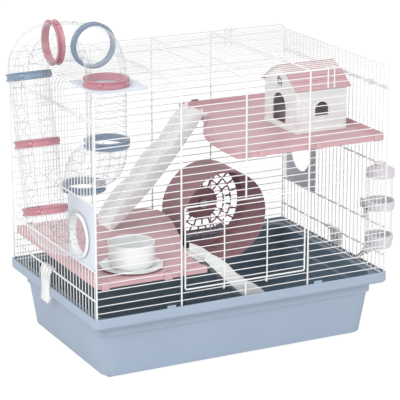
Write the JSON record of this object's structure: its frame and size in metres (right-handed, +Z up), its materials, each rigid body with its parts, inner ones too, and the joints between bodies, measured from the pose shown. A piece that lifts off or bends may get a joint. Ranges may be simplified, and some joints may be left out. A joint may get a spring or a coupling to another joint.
{
  "type": "hamster cage",
  "caption": "Wire pet cage on a deep plastic tray, with inner floors, ramps, a running wheel, a house, a bowl, a water bottle and a run of clear climbing tubes.",
  "frame": {"origin": "centre of the overall box at the underside of the feet", "axes": "+X towards the water bottle side, -Y the front with the door, +Z up"},
  "size_m": [0.74, 0.396, 0.6241],
  "materials": {
    "tray": "pale blue moulded plastic",
    "wire": "white powder coat on steel wire",
    "white_plastic": "white moulded plastic",
    "pink": "dusty pink moulded plastic",
    "mauve": "mauve moulded plastic",
    "ring_blue": "grey blue moulded plastic",
    "ring_pink": "rose moulded plastic",
    "port_plate": "very pale blue moulded plastic",
    "clear": "clear moulded plastic",
    "house": "off-white moulded plastic",
    "bowl": "white glaze",
    "lilac": "pale lilac moulded plastic",
    "steel": "bright"
  },
  "bodies": {
    "cage": {"base_tray": "tray", "front_panel": "wire", "back_panel": "wire", "left_side_panel": "wire", "right_side_panel": "wire", "roof_panel": "wire", "panel_clip_left_front": "white_plastic", "panel_clip_left_back": "white_plastic", "panel_clip_right_front": "white_plastic", "panel_clip_right_back": "white_plastic", "left_port_plate": "port_plate", "right_port_plate": "port_plate", "roof_port_plate": "port_plate", "left_port_ring": "white_plastic", "port_elbow_tube": "clear", "ring_column_foot": "ring_pink", "column_tube_lower": "clear", "ring_column_middle": "ring_pink", "column_tube_upper": "clear", "ring_column_top": "ring_blue", "top_elbow_tube": "clear", "ring_side": "ring_pink", "corner_elbow_tube": "clear", "ring_corner": "ring_blue", "roof_elbow_tube": "clear", "ring_roof": "ring_pink", "drop_tube": "clear", "ring_inner": "ring_blue", "inner_bend_tube": "clear", "ring_exit": "ring_blue", "upper_floor": "pink", "lower_floor": "pink", "upper_ramp": "white_plastic", "lower_ramp": "white_plastic", "wheel_axle": "port_plate", "wheel_bracket": "mauve"},
    "front_door": {"front_door": "wire"},
    "roof_door": {"roof_door": "wire"},
    "tray_clip_left": {"tray_clip_left": "white_plastic"},
    "tray_clip_right": {"tray_clip_right": "white_plastic"},
    "front_hook_left": {"front_hook_left": "wire"},
    "front_hook_right": {"front_hook_right": "wire"},
    "back_hook_left": {"back_hook_left": "wire"},
    "back_hook_right": {"back_hook_right": "wire"},
    "wheel": {"wheel_drum": "mauve"},
    "bottle": {"bottle_holder": "lilac", "bottle_body": "clear", "bottle_top_cap": "lilac", "bottle_lower_cap": "lilac", "bottle_spout": "steel", "spout_ball": "steel"},
    "bowl": {"saucer": "bowl", "food_bowl": "bowl"},
    "house": {"house_walls": "house", "house_roof": "pink"}
  },
  "joints": [
    {"name": "front_door_hinge", "type": "hinge", "parent": "cage", "child": "front_door", "pos_m": [0.02, -0.1903, 0.14675], "axis": [1, 0, 0], "range_deg": [0, 90]},
    {"name": "roof_door_hinge", "type": "hinge", "parent": "cage", "child": "roof_door", "pos_m": [0.02, 0.09967, 0.5189], "axis": [-1, 0, 0], "range_deg": [0, 110]},
    {"name": "tray_clip_left_swing", "type": "hinge", "parent": "cage", "child": "tray_clip_left", "pos_m": [-0.2697, 0.01993, 0.1563], "axis": [0, 1, 0], "range_deg": [0, 90]},
    {"name": "tray_clip_right_swing", "type": "hinge", "parent": "cage", "child": "tray_clip_right", "pos_m": [0.3097, -0.00664, 0.1563], "axis": [0, -1, 0], "range_deg": [0, 90]},
    {"name": "front_hook_left_swing", "type": "hinge", "parent": "cage", "child": "front_hook_left", "pos_m": [-0.139, -0.1927, 0.5213], "axis": [-1, 0, 0], "range_deg": [0, 90]},
    {"name": "front_hook_right_swing", "type": "hinge", "parent": "cage", "child": "front_hook_right", "pos_m": [0.187, -0.1927, 0.5213], "axis": [-1, 0, 0], "range_deg": [0, 90]},
    {"name": "back_hook_left_swing", "type": "hinge", "parent": "cage", "child": "back_hook_left", "pos_m": [-0.139, 0.1927, 0.5213], "axis": [1, 0, 0], "range_deg": [0, 90]},
    {"name": "back_hook_right_swing", "type": "hinge", "parent": "cage", "child": "back_hook_right", "pos_m": [0.187, 0.1927, 0.5213], "axis": [1, 0, 0], "range_deg": [0, 90]},
    {"name": "wheel_spin", "type": "hinge", "parent": "cage", "child": "wheel", "pos_m": [0.11899, 0.1255, 0.185], "axis": [0, 1, 0], "continuous": true},
    {"name": "bottle_unhook", "type": "slide", "parent": "cage", "child": "bottle", "axis": [1, 0, 0], "range_m": [0, 0.05]},
    {"name": "bowl_lift", "type": "slide", "parent": "cage", "child": "bowl", "axis": [0, 0, 1], "range_m": [0, 0.06]},
    {"name": "house_slide", "type": "slide", "parent": "cage", "child": "house", "axis": [-1, 0, 0], "range_m": [0, 0.085]}
  ]
}
